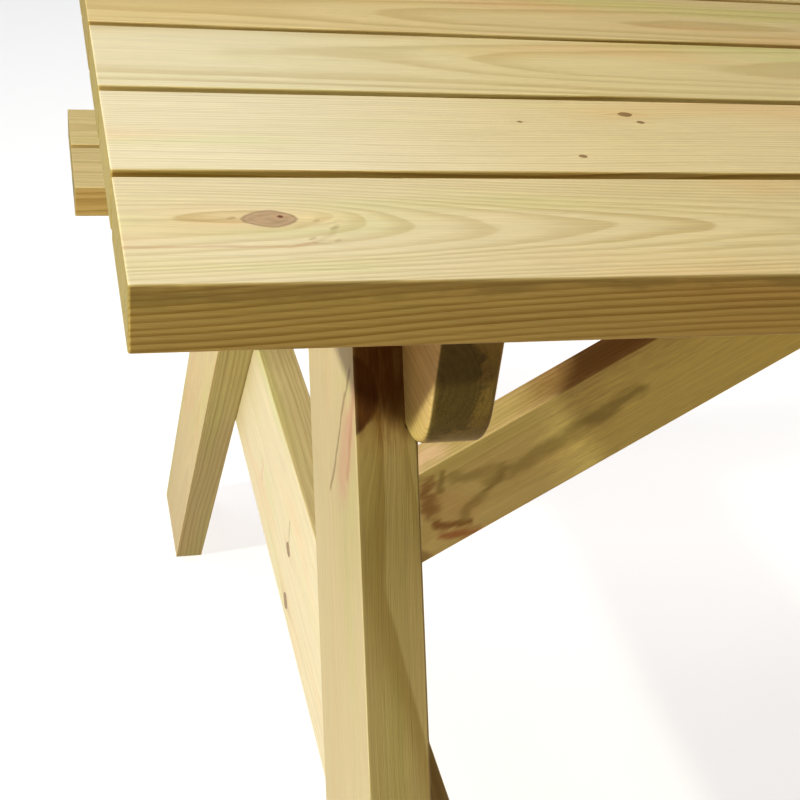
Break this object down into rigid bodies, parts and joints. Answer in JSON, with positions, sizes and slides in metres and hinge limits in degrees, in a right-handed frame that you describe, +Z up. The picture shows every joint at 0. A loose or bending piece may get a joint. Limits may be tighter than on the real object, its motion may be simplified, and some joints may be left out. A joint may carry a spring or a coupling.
{
  "type": "folding picnic table",
  "caption": "Timber picnic table with a planked top on braced A-frame legs, and plank benches along both sides that fold up on pivot bolts.",
  "frame": {"origin": "on the ground under the middle of the table top", "axes": "+X along the table to the right, +Y across it to the back bench, +Z up"},
  "size_m": [1.2, 1.289, 0.72],
  "materials": {
    "top_timber": "planed, pressure-treated pine with visible grain and knots",
    "frame_timber": "planed, pressure-treated pine with visible grain and knots",
    "seat_timber": "planed, pressure-treated pine with visible grain and knots",
    "zinc_steel": "dull zinc plating"
  },
  "bodies": {
    "frame": {"top_plank_1": "top_timber", "top_plank_2": "top_timber", "top_plank_3": "top_timber", "top_plank_4": "top_timber", "top_plank_5": "top_timber", "top_bearer_left": "frame_timber", "top_bearer_right": "frame_timber", "centre_batten": "frame_timber", "leg_front_left": "frame_timber", "leg_back_left": "frame_timber", "leg_front_right": "frame_timber", "leg_back_right": "frame_timber", "seat_bearer_left": "frame_timber", "seat_bearer_right": "frame_timber", "brace_left": "frame_timber", "brace_right": "frame_timber", "leg_bolts": "zinc_steel", "leg_washers": "zinc_steel", "leg_nuts": "zinc_steel", "pivot_bolts": "zinc_steel", "pivot_washers": "zinc_steel", "pivot_nuts": "zinc_steel", "top_screws": "zinc_steel", "bearer_screws": "zinc_steel", "brace_screws": "zinc_steel"},
    "front_bench": {"front_seat_inner_plank": "seat_timber", "front_seat_outer_plank": "seat_timber", "front_seat_arm_left": "seat_timber", "front_seat_arm_right": "seat_timber", "front_seat_batten": "seat_timber", "front_seat_screws": "zinc_steel"},
    "back_bench": {"back_seat_inner_plank": "seat_timber", "back_seat_outer_plank": "seat_timber", "back_seat_arm_left": "seat_timber", "back_seat_arm_right": "seat_timber", "back_seat_batten": "seat_timber", "back_seat_screws": "zinc_steel"}
  },
  "joints": [
    {"name": "front_bench_fold", "type": "hinge", "parent": "frame", "child": "front_bench", "pos_m": [0, -0.395, 0.394], "axis": [-1, 0, 0], "range_deg": [0, 95]},
    {"name": "back_bench_fold", "type": "hinge", "parent": "frame", "child": "back_bench", "pos_m": [0, 0.395, 0.394], "axis": [1, 0, 0], "range_deg": [0, 95]}
  ]
}
